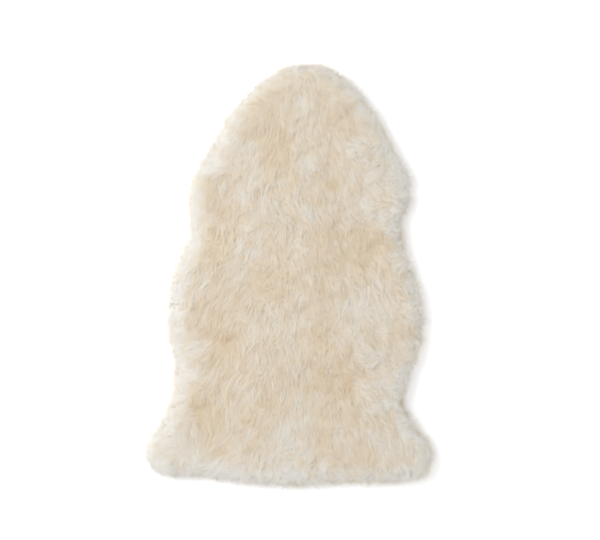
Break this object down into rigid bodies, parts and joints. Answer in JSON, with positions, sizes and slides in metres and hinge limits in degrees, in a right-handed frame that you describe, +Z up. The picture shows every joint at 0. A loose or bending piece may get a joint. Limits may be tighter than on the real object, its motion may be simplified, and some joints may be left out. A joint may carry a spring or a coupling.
{
  "type": "sheepskin rug",
  "caption": "Single-pelt sheepskin rug that lies flat, with the pelt's natural outline and dense plush ivory wool over a suede underside.",
  "frame": {"origin": "on the floor, under the middle of the rug's bounding box", "axes": "+Y from the hind legs towards the neck, +Z up out of the wool, +X to the right as seen from above with the neck away"},
  "size_m": [0.626, 0.9164, 0.0472],
  "materials": {
    "wool": "soft matt plush wool, ivory, warmer in the depth of the pile",
    "hide": "pale buff suede, matt"
  },
  "bodies": {
    "root": {"sheepskin": "wool"}
  },
  "joints": []
}
